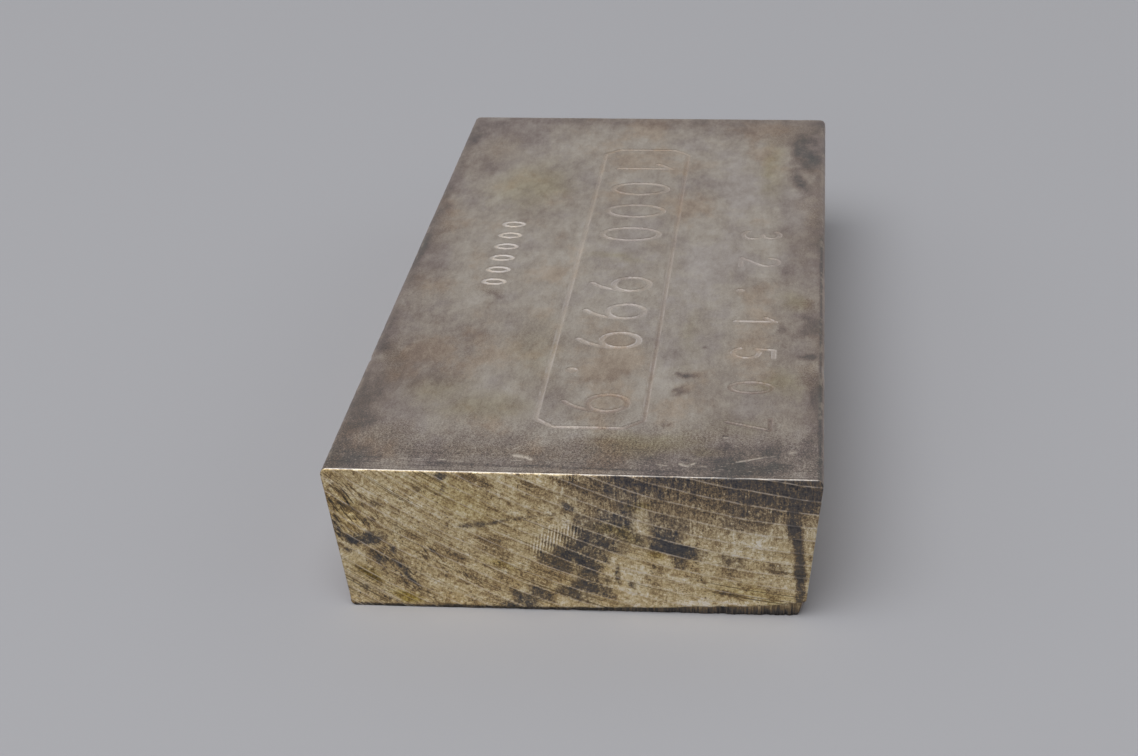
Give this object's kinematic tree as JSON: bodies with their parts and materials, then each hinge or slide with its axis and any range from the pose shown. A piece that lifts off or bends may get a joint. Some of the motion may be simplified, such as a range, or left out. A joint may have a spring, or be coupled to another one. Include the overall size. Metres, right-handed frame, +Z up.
{
  "type": "metal ingot",
  "caption": "Long flat silver ingot with leaning cast sides, rounded long edges, sawn ends and a stamped panel on its wide face.",
  "frame": {"origin": "middle of the base, on the surface that the bar lies on", "axes": "+X across the bar to its right, +Y along the bar away from the end with the torn strip, +Z up through the wide face"},
  "size_m": [0.0522, 0.117, 0.0162],
  "materials": {
    "tarnished_silver": "satin cast silver with brown and slate tarnish"
  },
  "bodies": {
    "root": {"ingot": "tarnished_silver"}
  },
  "joints": []
}
